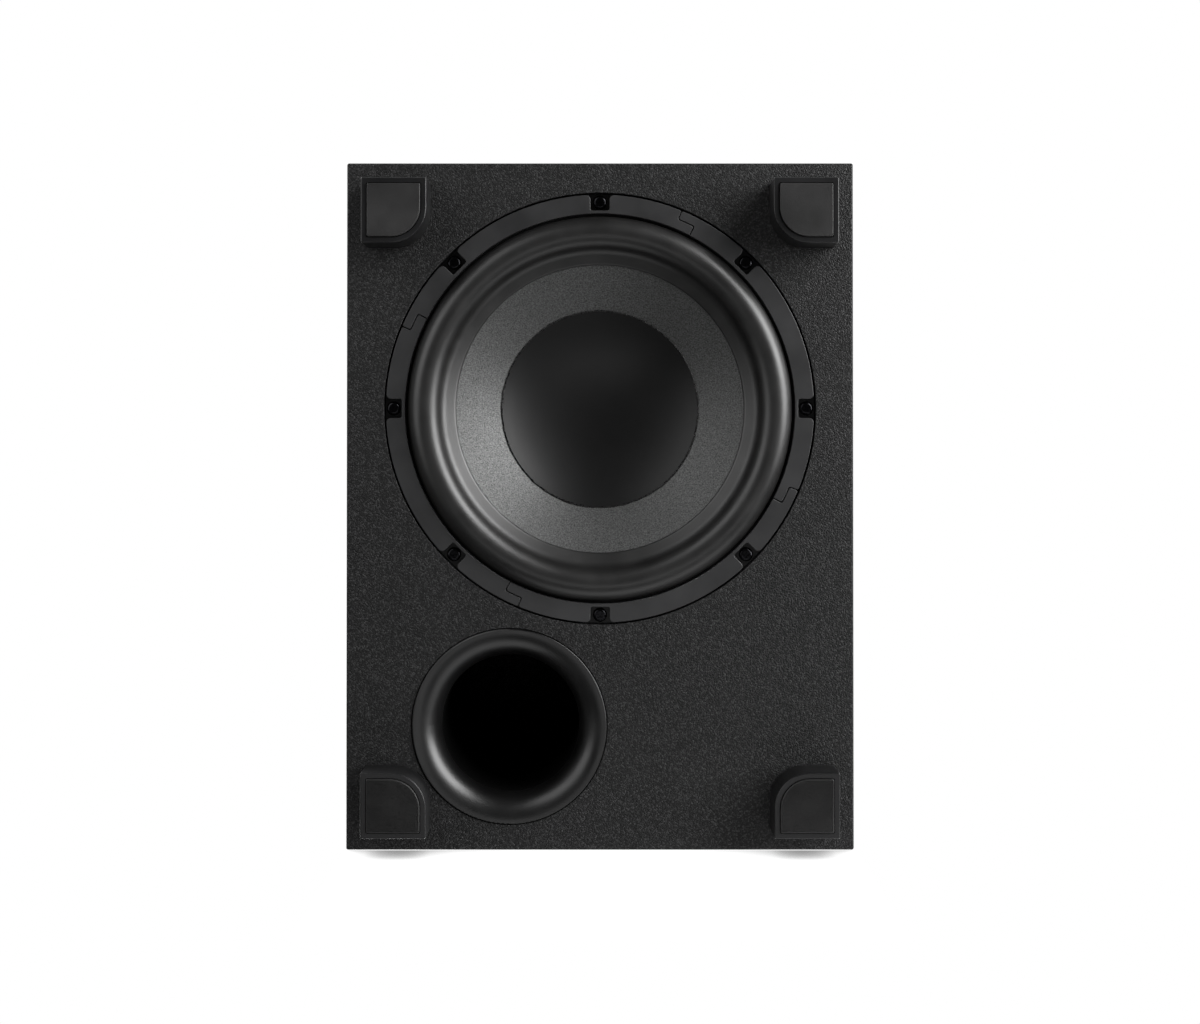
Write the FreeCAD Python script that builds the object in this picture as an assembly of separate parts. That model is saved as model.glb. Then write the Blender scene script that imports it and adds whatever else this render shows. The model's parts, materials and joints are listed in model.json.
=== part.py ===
"""Down-firing powered subwoofer with a 12 inch driver and a flared port, built sub-part by sub-part.

Frame: millimetres, +Z up, -Y the front, +Y the rear with the amplifier. The origin is on the floor,
under the middle of the whole object. The driver and the port fire down, through the bottom baffle,
into the gap that the four corner feet leave above the floor.

Driver and port profiles are pairs (radius, depth): depth is measured up into the cabinet from the
underside face of the baffle, so a negative depth stands proud of that face, towards the floor.
"""

import FreeCAD, Part
import math
import os

from FreeCAD import Placement, Rotation, Vector

# ---------------------------------------------------------------- driving dimensions
CABINET_W = 364.0
CABINET_D = 493.0
CABINET_H = 400.0
FOOT_H = 34.0
REAR_REACH = 14.0  # how far the knobs stand out behind the cabinet
WALL = 18.0
BAFFLE = 22.0
EDGE_R = 1.5  # rounding of the cabinet's outer edges
GAP = 0.1  # running and assembly clearance

X_SIDE = CABINET_W / 2
Y_FRONT = -(CABINET_D + REAR_REACH) / 2
Y_REAR = Y_FRONT + CABINET_D
Y_MIDDLE = Y_FRONT + CABINET_D / 2
Z_FACE = FOOT_H
Z_TOP = FOOT_H + CABINET_H
Z_FLOOR_IN = Z_FACE + BAFFLE
Z_ROOF_IN = Z_TOP - WALL

# Driver
DRIVER_X, DRIVER_Y = 0.0, Y_MIDDLE + 70.0
RABBET_R, RABBET_DEPTH, RABBET_EASE = 155.2, 9.0, 0.4
CUTOUT_R = 142.0
FLANGE_R, FLANGE_T = 154.4, 3.0
GASKET_T = 1.0
BOLT_CIRCLE_R = 148.5
N_BOLTS = 8
SHANK_R = 2.4
TRIM_OUT_R, TRIM_IN_R, TRIM_PROUD = 153.8, 140.0, 0.4
TRIM_STEP_R, TRIM_LAP_ROUND = 147.2, 1.4
N_TRIM = 4
TRIM_CUT_DEG, TRIM_LAP_DEG = 22.5, 4.9  # a lap joint's outer radial cut, and how far on its inner cut is
NOTCH_W, NOTCH_FLOOR_R = 13.8, 142.4
NOTCH_CORNER, NOTCH_MOUTH = 1.6, 3.2  # rounds at the notch's floor and where it opens outwards
ROLL_R, ROLL_CENTRE_R = 12.0, 126.4  # the half roll's face
ROLL_LEAN = math.radians(65)  # how steep the roll gets before it curves back into the cone
VALLEY_START_R = 110.5  # where the rubber leaves the cone's slope
RUBBER_T = 1.2
CONE_R, CONE_EDGE_DEPTH, CONE_SLOPE = 112.0, 5.1, math.radians(27)
CONE_T = 1.2
LAND_R = 104.0  # inner edge of the rubber that is glued over the cone
CAP_R, CAP_SLOPE, CAP_T = 71.2, math.radians(25), 1.2
COIL_R = 32.0
LEDGE_DEPTH = 72.0  # where the spider is glued to the basket
BASE_DEPTH = 92.0  # where the basket meets the magnet's front plate
PLATE_T, MAGNET_T = 10.0, 40.0
MAGNET_R, MAGNET_IN_R, PLATE_R = 78.0, 45.0, 68.0
POLE_R, POLE_GAP_R, VENT_R = 30.4, 34.8, 12.0

# Port
PORT_X, PORT_Y = 65.0, Y_MIDDLE - 158.0
PORT_R, PORT_WALL = 50.0, 3.0
MOUTH_R, MOUTH_FLARE, MOUTH_PROUD = 69.8, 19.0, 1.2
MOUTH_FLANGE = 2.6
TUBE_L, FLARE_IN = 250.0, 16.0
SOCKET_L = 22.0

# Feet
FOOT_SIDE, FOOT_ROUND = 46.0, 25.0
FOOT_INSET_X, FOOT_INSET_Y = 14.2, 15.0
FOOT_RIM, FOOT_EDGE = 3.7, 0.9
PAD_PROUD, POCKET_DEPTH, PAD_GROOVE = 1.5, 3.0, 0.6

# Amplifier, on the rear panel
AMP_W, AMP_H, AMP_Z, AMP_T = 220.0, 230.0, 295.0, 3.0
AMP_GASKET_T = 1.0
AMP_BORDER = 12.0
BOARD_OFF, BOARD_T = 22.0, 1.6
Y_PLATE_IN = Y_REAR - AMP_T
Y_KNOB_END = Y_REAR + REAR_REACH
VOLUME_AT, CROSSOVER_AT = (-66.0, 370.0), (-14.0, 370.0)
PHASE_AT, POWER_AT = (-66.0, 324.0), (-14.0, 324.0)
JACKS_AT = ((-76.0, 280.0), (-54.0, 280.0))
LED_AT = (-14.0, 346.0)
INLET_AT = (-38.0, 218.0)
SINK_AT, SINK_W, SINK_H = (67.0, 295.0), 62.0, 200.0
PHASE_TRAVEL, POWER_TRAVEL, DRAWER_TRAVEL = 4.0, 4.0, 16.0

UP = Vector(0, 0, 1)
BACK = Vector(0, 1, 0)
nodes = {}


# ---------------------------------------------------------------- helpers
def wire(items, place):
    """A closed wire. An item is a point for a straight run, or (middle, end) for an arc."""
    start = place(items[0])
    here = start
    edges = []
    for item in list(items[1:]) + [items[0]]:
        if isinstance(item[0], tuple):
            middle, end = place(item[0]), place(item[1])
            edges.append(Part.Arc(here, middle, end).toShape())
        else:
            end = place(item)
            if end.distanceToPoint(here) < 1e-6:
                continue
            edges.append(Part.LineSegment(here, end).toShape())
        here = end
    return Part.Wire(edges)


def turned(items, x, y):
    """The solid that a (radius, depth) profile sweeps about the vertical axis through x, y."""
    face = Part.Face(wire(items, lambda p: Vector(x + p[0], y, Z_FACE + p[1])))
    return face.revolve(Vector(x, y, 0), UP, 360)


def turned_back(items, x, z):
    """The solid that a (radius, y) profile sweeps about the axis along Y through x, z."""
    face = Part.Face(wire(items, lambda p: Vector(x + p[0], p[1], z)))
    return face.revolve(Vector(x, 0, z), BACK, 360)


def box(x0, x1, y0, y1, z0, z1):
    return Part.makeBox(x1 - x0, y1 - y0, z1 - z0, Vector(x0, y0, z0))


def tube(r_out, r_in, z0, z1, x, y):
    outer = Part.makeCylinder(r_out, z1 - z0, Vector(x, y, z0))
    return outer.cut(Part.makeCylinder(r_in, z1 - z0, Vector(x, y, z0)))


def rod_up(r, z0, z1, x, y):
    return Part.makeCylinder(r, z1 - z0, Vector(x, y, z0))


def rod_back(r, y0, y1, x, z):
    return Part.makeCylinder(r, y1 - y0, Vector(x, y0, z), BACK)


def block_back(cx, cz, w, h, y0, y1, corner=0.0):
    """A block seen from the rear as w by h about cx, cz, with its long edges rounded."""
    made = box(cx - w / 2, cx + w / 2, y0, y1, cz - h / 2, cz + h / 2)
    if corner:
        made = made.makeFillet(corner, [e for e in made.Edges if along(e, BACK)])
    return made


def along(edge, axis):
    if not isinstance(edge.Curve, Part.Line):
        return False
    return abs(abs(edge.Curve.Direction.dot(axis)) - 1) < 1e-6


def at_height(shape, z, axis=2):
    """The edges that lie wholly at one height, or at one y when axis is 1."""
    low = ("XMin", "YMin", "ZMin")[axis]
    high = ("XMax", "YMax", "ZMax")[axis]
    found = []
    for edge in shape.Edges:
        bounds = edge.BoundBox
        if abs(getattr(bounds, low) - z) < 1e-4 and abs(getattr(bounds, high) - z) < 1e-4:
            found.append(edge)
    return found


def softened(shape, radius, edges):
    """The shape with those edges rounded, or chamfered where a round can't be made."""
    for make in (shape.makeFillet, lambda r, e: shape.makeChamfer(r * 0.7, e)):
        try:
            made = make(radius, edges)
            if made.isValid() and made.Volume > 0.5 * shape.Volume:
                return made
        except Part.OCCError:
            continue
    return shape


def polar(r, degrees, x=DRIVER_X, y=DRIVER_Y):
    a = math.radians(degrees)
    return x + r * math.cos(a), y + r * math.sin(a)


def bolt_angles():
    return [360.0 / N_BOLTS * k for k in range(N_BOLTS)]


def tidy(shape):
    """A boolean's result as its bare solids."""
    made = shape.removeSplitter()
    solids = made.Solids
    return solids[0] if len(solids) == 1 else Part.makeCompound(solids)


def rounded_path(points, radius_share=0.45):
    """Straight runs joined by tangent arcs, each as large as its two runs allow."""
    pts = [Vector(*p) for p in points]
    edges = []
    here = pts[0]
    for before, corner, after in zip(pts, pts[1:], pts[2:]):
        into, out = (corner - before), (after - corner)
        reach = radius_share * min(into.Length, out.Length)
        into.normalize()
        out.normalize()
        start, end = corner - into * reach, corner + out * reach
        turn = into.getAngle(out)
        radius = reach / math.tan(turn / 2)
        inward = (out - into).normalize()
        middle = corner + inward * (radius / math.cos(turn / 2) - radius)
        edges.append(Part.LineSegment(here, start).toShape())
        edges.append(Part.Arc(start, middle, end).toShape())
        here = end
    edges.append(Part.LineSegment(here, pts[-1]).toShape())
    return Part.Wire(edges)


def cable(points, radius):
    path = rounded_path(points)
    first, second = Vector(*points[0]), Vector(*points[1])
    ring = Part.Wire(Part.makeCircle(radius, first, second - first))
    return path.makePipeShell([ring], True, False)


def pan_screw(head_r, head_h, shank_r, length):
    """A cross-recessed pan head screw along +Z: its head ends at z 0 and its shank goes up."""
    crown = head_h * 0.4
    face = Part.Face(
        wire(
            [
                (0.0, -head_h),
                (head_r * 0.5, -head_h),
                ((head_r * 0.86, -head_h * 0.82), (head_r, -crown)),
                (head_r, 0.0),
                (shank_r, 0.0),
                (shank_r, length - shank_r),
                (0.4, length),
                (0.0, length),
            ],
            lambda p: Vector(p[0], 0, p[1]),
        )
    )
    screw = face.revolve(Vector(0, 0, 0), UP, 360)
    arm_l, arm_w, depth = head_r, head_r * 0.26, head_h * 0.62
    for l, w in ((arm_l, arm_w), (arm_w, arm_l)):
        screw = screw.cut(box(-l / 2, l / 2, -w / 2, w / 2, -head_h - 1, -head_h + depth))
    return screw


# ---------------------------------------------------------------- cabinet
def cabinet_corners(axis, side, inner):
    """The four corners of one wall's outer or inner face, in order round the face."""
    wall = WALL if inner else 0.0
    low = [-X_SIDE + wall, Y_FRONT + wall, Z_FACE + (BAFFLE if inner else 0.0)]
    high = [X_SIDE - wall, Y_REAR - wall, Z_TOP - wall]
    across = [a for a in range(3) if a != axis]
    corners = []
    for first, second in ((0, 0), (1, 0), (1, 1), (0, 1)):
        point = [0.0, 0.0, 0.0]
        point[axis] = (low, high)[side][axis]
        point[across[0]] = (low, high)[first][across[0]]
        point[across[1]] = (low, high)[second][across[1]]
        corners.append(tuple(point))
    return corners


def mitred_panel(block, axis, side):
    """One wall of the cabinet, cut to mitres where it meets its four neighbours."""
    loops = [wire(cabinet_corners(axis, side, inner), lambda p: Vector(*p)) for inner in (False, True)]
    return Part.makeLoft(loops, True, True).common(block)


def make_cabinet():
    block = box(-X_SIDE, X_SIDE, Y_FRONT, Y_REAR, Z_FACE, Z_TOP)
    block = block.makeFillet(EDGE_R, block.Edges)
    nodes["left_panel"] = mitred_panel(block, 0, 0)
    nodes["right_panel"] = mitred_panel(block, 0, 1)
    nodes["front_panel"] = mitred_panel(block, 1, 0)
    nodes["top_panel"] = mitred_panel(block, 2, 1)

    baffle = mitred_panel(block, 2, 0)
    cuts = [
        rod_up(RABBET_R, Z_FACE - 1, Z_FACE + RABBET_DEPTH, DRIVER_X, DRIVER_Y),
        rod_up(CUTOUT_R, Z_FACE, Z_FLOOR_IN + 1, DRIVER_X, DRIVER_Y),
        rod_up(MOUTH_R + 0.8, Z_FACE - 1, Z_FACE + MOUTH_FLANGE, PORT_X, PORT_Y),
        rod_up(MOUTH_R - 6.8, Z_FACE, Z_FLOOR_IN + 1, PORT_X, PORT_Y),
    ]
    for angle in bolt_angles():
        x, y = polar(BOLT_CIRCLE_R, angle)
        cuts.append(rod_up(SHANK_R + GAP, Z_FACE, Z_FACE + 20.8, x, y))
    for sx, sy in foot_signs():
        x, y = foot_screw_at(sx, sy)
        cuts.append(rod_up(SHANK_R + GAP, Z_FACE - 1, Z_FACE + 16, x, y))
    baffle = tidy(baffle.cut(cuts))
    rim = [e for e in at_height(baffle, Z_FACE) if abs(e.BoundBox.XLength - 2 * RABBET_R) < 0.01]
    nodes["bottom_baffle"] = softened(baffle, RABBET_EASE, rim)

    rear = mitred_panel(block, 1, 1)
    seat = AMP_T + AMP_GASKET_T
    open_w, open_h = AMP_W - 2 * AMP_BORDER, AMP_H - 2 * AMP_BORDER
    opening = block_back(0, AMP_Z, open_w, open_h, Y_REAR - WALL - 1, Y_REAR, 4)
    cuts = [block_back(0, AMP_Z, AMP_W + 0.8, AMP_H + 0.8, Y_REAR - seat, Y_REAR + 1, 6.4), opening]
    for x, z in plate_screws_at():
        cuts.append(rod_back(1.8, Y_REAR - 16, Y_REAR, x, z))
    nodes["rear_panel"] = tidy(rear.cut(cuts))
    nodes["window_brace"] = make_brace()
    nodes["acoustic_lining"] = make_lining()


BRACE_T, BRACE_RAIL = 12.0, 48.0
BRACE_Y = Y_MIDDLE - 88.5


def make_brace():
    """An upright frame across the box, between the driver and the port."""
    side = X_SIDE - WALL
    frame = box(-side, side, BRACE_Y, BRACE_Y + BRACE_T, Z_FLOOR_IN, Z_ROOF_IN)
    window = box(
        -side + BRACE_RAIL, side - BRACE_RAIL, BRACE_Y - 1, BRACE_Y + BRACE_T + 1,
        Z_FLOOR_IN + BRACE_RAIL, Z_ROOF_IN - BRACE_RAIL,
    )
    return frame.cut(window.makeFillet(20, [e for e in window.Edges if along(e, BACK)]))


LINING_T = 12.0


def make_lining():
    """Wadding on the roof and on both sides of the driver's chamber, and on the front wall."""
    side, y0, y1 = X_SIDE - WALL, BRACE_Y + BRACE_T + 6, Y_REAR - WALL - 90
    z0, z1 = Z_FLOOR_IN + 40, Z_ROOF_IN - LINING_T - 4
    front = Y_FRONT + WALL
    pads = [
        box(-side + 10, side - 10, y0, y1, Z_ROOF_IN - LINING_T, Z_ROOF_IN),
        box(-side, -side + LINING_T, y0, y1, z0, z1),
        box(side - LINING_T, side, y0, y1, z0, z1),
        box(-side + 10, -10, front, front + LINING_T, z0, z1),
    ]
    return Part.makeCompound([p.makeFillet(4, p.Edges) for p in pads])


# ---------------------------------------------------------------- feet
def foot_signs():
    return [(-1, -1), (1, -1), (-1, 1), (1, 1)]


def foot_name(sx, sy):
    return ("front" if sy < 0 else "rear") + "_" + ("left" if sx < 0 else "right")


def foot_outer_corner(sx, sy):
    edge_y = Y_FRONT if sy < 0 else Y_REAR
    return sx * (X_SIDE - FOOT_INSET_X), edge_y - sy * FOOT_INSET_Y


def foot_screw_at(sx, sy):
    x, y = foot_outer_corner(sx, sy)
    return x - sx * FOOT_SIDE * 0.46, y - sy * FOOT_SIDE * 0.46


def quarter_block(sx, sy, inset, z0, z1, corner):
    """A square block with its inward corner cut to a large round, set in from the foot's outline."""
    x, y = foot_outer_corner(sx, sy)
    side, big = FOOT_SIDE - 2 * inset, FOOT_ROUND - inset
    c, k = corner, corner * (1 - math.sqrt(0.5))
    far, bk = side, big * (1 - math.sqrt(0.5))
    shape = [
        (c, 0),
        (far - c, 0),
        ((far - k, k), (far, c)),
        (far, far - big),
        ((far - bk, far - bk), (far - big, far)),
        (c, far),
        ((k, far - k), (0, far - c)),
        (0, c),
        ((k, k), (c, 0)),
    ]
    flat = wire(shape, lambda p: Vector(x - sx * (inset + p[0]), y - sy * (inset + p[1]), z0))
    return Part.Face(flat).extrude(Vector(0, 0, z1 - z0))


def make_feet():
    screws = []
    for sx, sy in foot_signs():
        name = foot_name(sx, sy)
        tip = PAD_PROUD
        body = quarter_block(sx, sy, 0, tip, Z_FACE, 1.1)
        body = softened(body, FOOT_EDGE, at_height(body, tip))
        pocket = quarter_block(sx, sy, FOOT_RIM, tip - 1, tip + POCKET_DEPTH, 1.4)
        x, y = foot_screw_at(sx, sy)
        seat = tip + POCKET_DEPTH + 14
        bores = [rod_up(6.0, tip, seat, x, y), rod_up(SHANK_R + GAP, tip, Z_FACE + 1, x, y)]
        nodes["foot_" + name] = tidy(body.cut([pocket] + bores))
        pad = quarter_block(sx, sy, FOOT_RIM + PAD_GROOVE, 0, tip + POCKET_DEPTH, 1.2)
        nodes["foot_pad_" + name] = softened(pad, 0.6, at_height(pad, 0))
        screw = pan_screw(4.5, 3.0, SHANK_R, Z_FACE - seat + 14)
        screw.translate(Vector(x, y, seat))
        screws.append(screw)
    nodes["foot_screws"] = Part.makeCompound(screws)


# ---------------------------------------------------------------- driver, fixed parts
def sector(r0, r1, a0, a1, z0, z1):
    """A block between two radii and two angles about the driver's axis."""
    middle = (a0 + a1) / 2
    shape = [
        polar(r0, a0),
        polar(r1, a0),
        (polar(r1, middle), polar(r1, a1)),
        polar(r0, a1),
        (polar(r0, middle), polar(r0, a0)),
    ]
    flat = wire(shape, lambda p: Vector(p[0], p[1], z0))
    return Part.Face(flat).extrude(Vector(0, 0, z1 - z0))


N_SPOKES, SPOKE_DEG = 6, 15.0
FLANGE_TOP = RABBET_DEPTH - GASKET_T  # depth of the flange's back face
FLANGE_FACE = FLANGE_TOP - FLANGE_T
PEG_R, PEG_L = 2.0, 2.6


def peg_angles(first):
    """Where a trim segment that starts at angle first clips into the flange."""
    return (first + 10.0, first + 45.0, first + 80.0)


def make_basket():
    profile = [
        (FLANGE_R, FLANGE_FACE),
        (FLANGE_R, FLANGE_TOP),
        (141.0, FLANGE_TOP),
        (139.0, 23.0),
        (87.0, LEDGE_DEPTH - 11),
        (87.0, LEDGE_DEPTH + 3),
        (PLATE_R, LEDGE_DEPTH + 3),
        (PLATE_R, BASE_DEPTH),
        (48.0, BASE_DEPTH),
        (48.0, BASE_DEPTH - 3),
        (65.0, BASE_DEPTH - 3),
        (65.0, LEDGE_DEPTH),
        (84.0, LEDGE_DEPTH),
        (84.0, LEDGE_DEPTH - 15),
        (134.0, 21.0),
        (134.0, FLANGE_FACE),
    ]
    basket = turned(profile, DRIVER_X, DRIVER_Y)
    cuts = []
    step = 360.0 / N_SPOKES
    for k in range(N_SPOKES):
        a0 = k * step + SPOKE_DEG / 2
        cuts.append(sector(94, 132, a0, a0 + step - SPOKE_DEG, Z_FACE + 13, Z_FACE + 68))
    for angle in bolt_angles():
        x, y = polar(BOLT_CIRCLE_R, angle)
        cuts.append(rod_up(SHANK_R + 0.3, Z_FACE, Z_FACE + 12, x, y))
    for k in range(N_TRIM):
        for angle in peg_angles(TRIM_CUT_DEG + 90.0 * k):
            x, y = polar(TRIM_STEP_R, angle)
            cuts.append(rod_up(PEG_R + GAP, Z_FACE, Z_FACE + 12, x, y))
    nodes["driver_basket"] = tidy(basket.cut(cuts))


def make_gasket():
    ring = tube(FLANGE_R, CUTOUT_R + 0.6, Z_FACE + FLANGE_TOP, Z_FACE + RABBET_DEPTH, DRIVER_X, DRIVER_Y)
    holes = [rod_up(SHANK_R + 0.3, Z_FACE, Z_FACE + 12, *polar(BOLT_CIRCLE_R, a)) for a in bolt_angles()]
    nodes["driver_gasket"] = tidy(ring.cut(holes))


def notch(angle, z0, z1):
    """The U-shaped window round one driver screw, open to the ring's outer edge and eased there."""
    half, c, m = NOTCH_W / 2, NOTCH_CORNER, NOTCH_MOUTH
    share = 1 - math.sqrt(0.5)
    floor_k, mouth_k = c * share, m * share
    mouth = math.sqrt(TRIM_OUT_R**2 - (half + m) ** 2)
    shape = [
        (mouth + 4, half + m),
        (mouth, half + m),
        ((mouth - mouth_k, half + mouth_k), (mouth - m, half)),
        (NOTCH_FLOOR_R + c, half),
        ((NOTCH_FLOOR_R + floor_k, half - floor_k), (NOTCH_FLOOR_R, half - c)),
        (NOTCH_FLOOR_R, -half + c),
        ((NOTCH_FLOOR_R + floor_k, -half + floor_k), (NOTCH_FLOOR_R + c, -half)),
        (mouth - m, -half),
        ((mouth - mouth_k, -half - mouth_k), (mouth, -half - m)),
        (mouth + 4, -half - m),
    ]
    a = math.radians(angle)

    def place(p):
        x = DRIVER_X + p[0] * math.cos(a) - p[1] * math.sin(a)
        y = DRIVER_Y + p[0] * math.sin(a) + p[1] * math.cos(a)
        return Vector(x, y, z0)

    return Part.Face(wire(shape, place)).extrude(Vector(0, 0, z1 - z0))


def lap_corners(ring):
    """A plain ring segment's upright edges, but for those at the ring's bore."""
    found = []
    for edge in ring.Edges:
        at = edge.CenterOfMass
        if along(edge, UP) and math.hypot(at.x - DRIVER_X, at.y - DRIVER_Y) > TRIM_IN_R + 1:
            found.append(edge)
    return found


def make_trim():
    """Four interlocking ring segments. A lap joint steps at mid width from one radial cut to another."""
    z0, z1 = Z_FACE - TRIM_PROUD, Z_FACE + FLANGE_FACE
    slit_deg, slit = 0.12, 0.3
    windows = [notch(angle, z0 - 1, z1 + 1) for angle in bolt_angles()]
    for k in range(N_TRIM):
        a0 = TRIM_CUT_DEG + 90.0 * k
        a1 = a0 + TRIM_LAP_DEG
        outer = sector(TRIM_STEP_R + slit, TRIM_OUT_R, a0 + slit_deg, a0 + 90 - slit_deg, z0, z1)
        inner = sector(TRIM_IN_R, TRIM_STEP_R + slit, a1 + slit_deg, a1 + 90 - slit_deg, z0, z1)
        freed = sector(TRIM_STEP_R - slit, TRIM_STEP_R + slit, a0 + 90 - slit_deg, a1 + 91, z0 - 1, z1 + 1)
        ring = outer.fuse(inner).cut(freed).removeSplitter()
        ring = softened(ring, TRIM_LAP_ROUND, lap_corners(ring)).cut(windows)
        ring = softened(ring, 0.5, at_height(ring, z0))
        pegs = [rod_up(PEG_R, z1 - 1, z1 + PEG_L, *polar(TRIM_STEP_R, angle)) for angle in peg_angles(a0)]
        nodes["trim_ring_segment_%d" % (k + 1)] = tidy(ring.fuse(pegs))


def make_driver_screws():
    screws = []
    for index, angle in enumerate(bolt_angles()):
        screw = pan_screw(5.0, 3.4, SHANK_R, 15.0)
        screw.rotate(Vector(0, 0, 0), UP, 37.0 * index)
        x, y = polar(BOLT_CIRCLE_R, angle)
        screw.translate(Vector(x, y, Z_FACE + FLANGE_FACE))
        screws.append(screw)
    nodes["driver_screws"] = Part.makeCompound(screws)


def make_motor():
    plate_back = BASE_DEPTH + PLATE_T
    magnet_back = plate_back + MAGNET_T
    x, y = DRIVER_X, DRIVER_Y
    plate = tube(PLATE_R, POLE_GAP_R, Z_FACE + BASE_DEPTH, Z_FACE + plate_back, x, y)
    nodes["magnet_front_plate"] = softened(plate, 1.0, at_height(plate, Z_FACE + plate_back))
    magnet = tube(MAGNET_R, MAGNET_IN_R, Z_FACE + plate_back, Z_FACE + magnet_back, x, y)
    nodes["magnet"] = softened(magnet, 2.0, magnet.Edges)
    yoke = [
        (VENT_R, BASE_DEPTH - 1),
        (POLE_R - 1.5, BASE_DEPTH - 1),
        (POLE_R, BASE_DEPTH + 0.5),
        (POLE_R, magnet_back),
        (PLATE_R, magnet_back),
        (PLATE_R, magnet_back + PLATE_T - 2),
        (PLATE_R - 2, magnet_back + PLATE_T),
        (VENT_R + 5, magnet_back + PLATE_T),
        (VENT_R, magnet_back + PLATE_T - 6),
    ]
    nodes["pole_yoke"] = turned(yoke, x, y)


TERMINAL_W = 26.0


def make_terminals():
    """A terminal strip on the outside of the basket's ledge ring, with two push-on tabs."""
    y0 = DRIVER_Y + 87.0 + GAP
    z0 = Z_FACE + LEDGE_DEPTH - 10
    strip = box(-TERMINAL_W / 2, TERMINAL_W / 2, y0, y0 + 3, z0, z0 + 12)
    tabs = [box(sx * 7 - 2.4, sx * 7 + 2.4, y0 + 3, y0 + 11, z0 + 5, z0 + 5.8) for sx in (-1, 1)]
    strip = softened(strip, 1.0, [e for e in strip.Edges if along(e, BACK)])
    nodes["driver_terminals"] = Part.makeCompound([strip] + tabs)


# ---------------------------------------------------------------- driver, moving parts
def cone_depth(r):
    """Depth of the cone's front face at radius r."""
    return CONE_EDGE_DEPTH + (CONE_R - r) * math.tan(CONE_SLOPE)


NECK_R = COIL_R + 0.6


def make_cone():
    back = CONE_T / math.cos(CONE_SLOPE)
    profile = [
        (NECK_R, cone_depth(NECK_R)),
        (CONE_R, cone_depth(CONE_R)),
        (CONE_R, cone_depth(CONE_R) + back),
        (NECK_R, cone_depth(NECK_R) + back),
    ]
    nodes["cone"] = turned(profile, DRIVER_X, DRIVER_Y)


def cap_depth(r, sphere):
    edge = cone_depth(CAP_R)
    return edge + math.sqrt(sphere**2 - r**2) - math.sqrt(sphere**2 - CAP_R**2)


def make_dust_cap():
    """A dished cap, with its rim glued to the cone's front face."""
    sphere = CAP_R / math.sin(CAP_SLOPE)
    lift = CAP_T + 0.2
    rim, half = CAP_R, CAP_R / 2
    front = [(0.0, cap_depth(0, sphere) - lift)]
    arc = ((half, cap_depth(half, sphere) - lift), (rim, cap_depth(rim, sphere) - lift))
    back = ((half, cap_depth(half, sphere) - 0.2), (0.0, cap_depth(0, sphere) - 0.2))
    profile = front + [arc, (rim, cap_depth(rim, sphere) - 0.2), back]
    nodes["dust_cap"] = turned(profile, DRIVER_X, DRIVER_Y)


FORMER_T, WINDING_T, WINDING_H = 0.5, 1.2, 30.0


def make_coil():
    gap_middle = BASE_DEPTH + PLATE_T / 2
    top, end = cone_depth(NECK_R) - 1.0, gap_middle + WINDING_H / 2 + 2
    x, y = DRIVER_X, DRIVER_Y
    nodes["coil_former"] = tube(COIL_R, COIL_R - FORMER_T, Z_FACE + top, Z_FACE + end, x, y)
    start = gap_middle - WINDING_H / 2
    nodes["voice_coil"] = tube(COIL_R + WINDING_T, COIL_R, Z_FACE + start, Z_FACE + start + WINDING_H, x, y)


def on_circle(centre, radius, lean):
    """The point of a circle where its tangent leans by that angle; a negative radius is the floor side."""
    return centre[0] + radius * math.sin(lean), centre[1] + radius * math.cos(lean)


def make_surround():
    """The rubber half roll, from its land on the cone, through a valley, to its lip on the flange."""
    t, slope, lean = RUBBER_T, CONE_SLOPE, ROLL_LEAN
    start = (VALLEY_START_R, cone_depth(VALLEY_START_R) - t)
    valley_end_r = ROLL_CENTRE_R - ROLL_R * math.sin(lean)
    valley_r = (valley_end_r - VALLEY_START_R) / (math.sin(lean) - math.sin(slope))
    valley = on_circle(start, -valley_r, slope)
    foot = on_circle(valley, valley_r, lean)
    roll = on_circle(foot, ROLL_R, lean)
    halfway = (slope + lean) / 2
    lip_r = TRIM_IN_R - 0.3
    flank = math.acos(min(1.0, (roll[1] - FLANGE_FACE + t) / ROLL_R))
    profile = [
        (LAND_R, cone_depth(LAND_R) - t * 0.6),
        start,
        (on_circle(valley, valley_r, halfway), foot),
        ((roll[0], roll[1] - ROLL_R), on_circle(roll, -ROLL_R, -flank)),
        (lip_r, FLANGE_FACE - t),
        (lip_r, FLANGE_FACE),
        (roll[0] + ROLL_R - t, FLANGE_FACE),
        (roll[0] + ROLL_R - t, roll[1]),
        ((roll[0], roll[1] - ROLL_R + t), on_circle(roll, t - ROLL_R, lean)),
        (on_circle(valley, valley_r + t, halfway), (CONE_R, cone_depth(CONE_R))),
        (LAND_R, cone_depth(LAND_R)),
    ]
    nodes["surround"] = turned(profile, DRIVER_X, DRIVER_Y)


SPIDER_WAVES, SPIDER_SWING, SPIDER_T, SPIDER_STEPS = 4, 2.4, 0.8, 8


def make_spider():
    """A corrugated disc from the coil former to the basket's ledge."""
    r0, r1, flat = COIL_R + GAP, 83.0, 66.0
    level = LEDGE_DEPTH - SPIDER_T
    face, back = [(r0, level)], []
    n = SPIDER_WAVES * SPIDER_STEPS
    for k in range(n + 1):
        r = r0 + 3 + (flat - r0 - 3) * k / n
        swing = SPIDER_SWING * math.sin(2 * math.pi * k / SPIDER_STEPS)
        face.append((r, level + swing))
        back.append((r, level + SPIDER_T + swing))
    face += [(r1, level), (r1, level + SPIDER_T)]
    profile = face + back[::-1] + [(r0, level + SPIDER_T)]
    nodes["spider"] = turned(profile, DRIVER_X, DRIVER_Y)


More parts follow.
